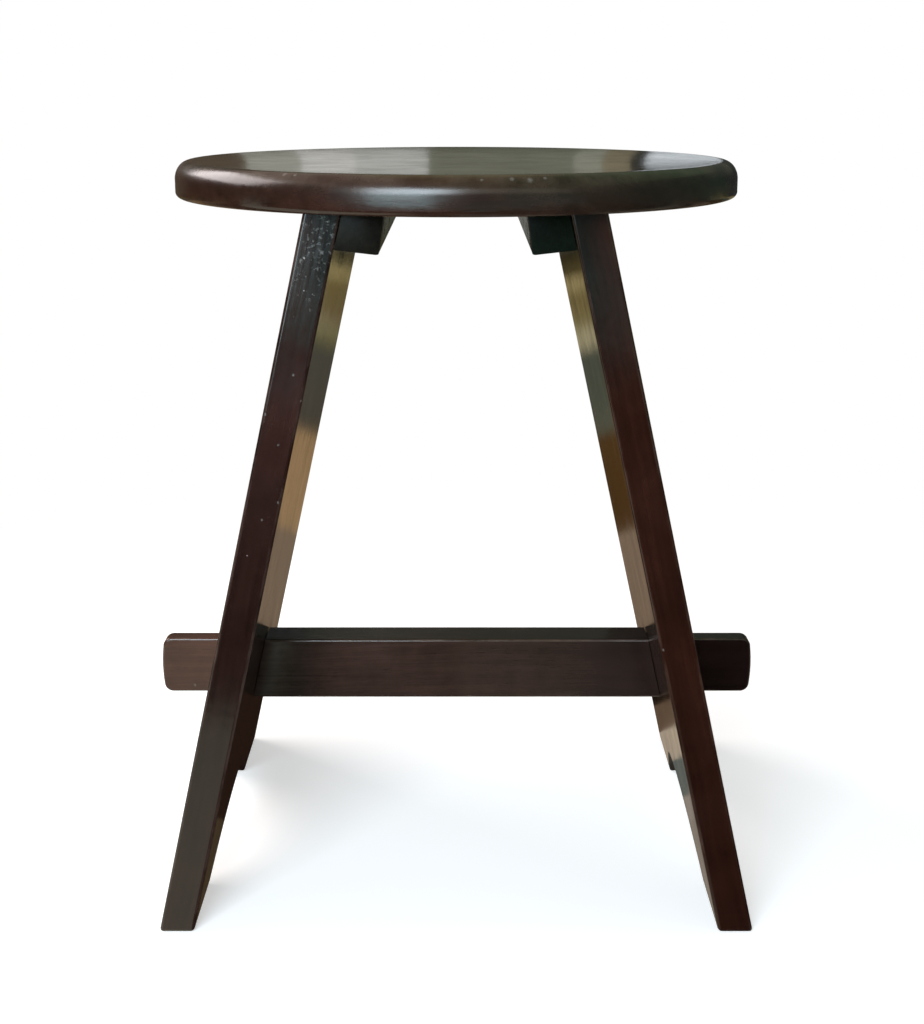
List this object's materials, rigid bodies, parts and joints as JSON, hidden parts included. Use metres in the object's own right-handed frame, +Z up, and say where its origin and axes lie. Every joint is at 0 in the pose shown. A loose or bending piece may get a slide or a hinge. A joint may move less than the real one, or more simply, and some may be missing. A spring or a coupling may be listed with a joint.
{
  "type": "stool",
  "caption": "Low round-topped wooden stool on two wide splayed slab legs with arched feet, tied by a through-tenoned stretcher low between them.",
  "frame": {"origin": "on the floor, midway between the feet, under the middle of the seat", "axes": "+Z up, X along the stretcher, -Y towards the side that the picture shows"},
  "size_m": [0.3976, 0.352, 0.457],
  "materials": {
    "seat_lacquer": "dark red-brown hardwood under worn gloss lacquer, grain along X",
    "leg_lacquer": "near-black red-brown hardwood under gloss lacquer, grain along the leg",
    "stretcher_lacquer": "dark red-brown hardwood under gloss lacquer, end grain on the tenons",
    "batten_wood": "dark hardwood with a thin satin coat",
    "screw_steel": "aged slotted steel, dull"
  },
  "bodies": {
    "root": {"seat": "seat_lacquer", "stretcher": "stretcher_lacquer", "right_leg_front_board": "leg_lacquer", "right_leg_rear_board": "leg_lacquer", "left_leg_front_board": "leg_lacquer", "left_leg_rear_board": "leg_lacquer", "right_batten": "batten_wood", "left_batten": "batten_wood", "right_seat_screw_1": "screw_steel", "right_seat_screw_2": "screw_steel", "right_seat_screw_3": "screw_steel", "right_leg_screw_1": "screw_steel", "right_leg_screw_2": "screw_steel", "right_leg_screw_3": "screw_steel", "right_leg_screw_4": "screw_steel", "left_seat_screw_1": "screw_steel", "left_seat_screw_2": "screw_steel", "left_seat_screw_3": "screw_steel", "left_leg_screw_1": "screw_steel", "left_leg_screw_2": "screw_steel", "left_leg_screw_3": "screw_steel", "left_leg_screw_4": "screw_steel"}
  },
  "joints": []
}
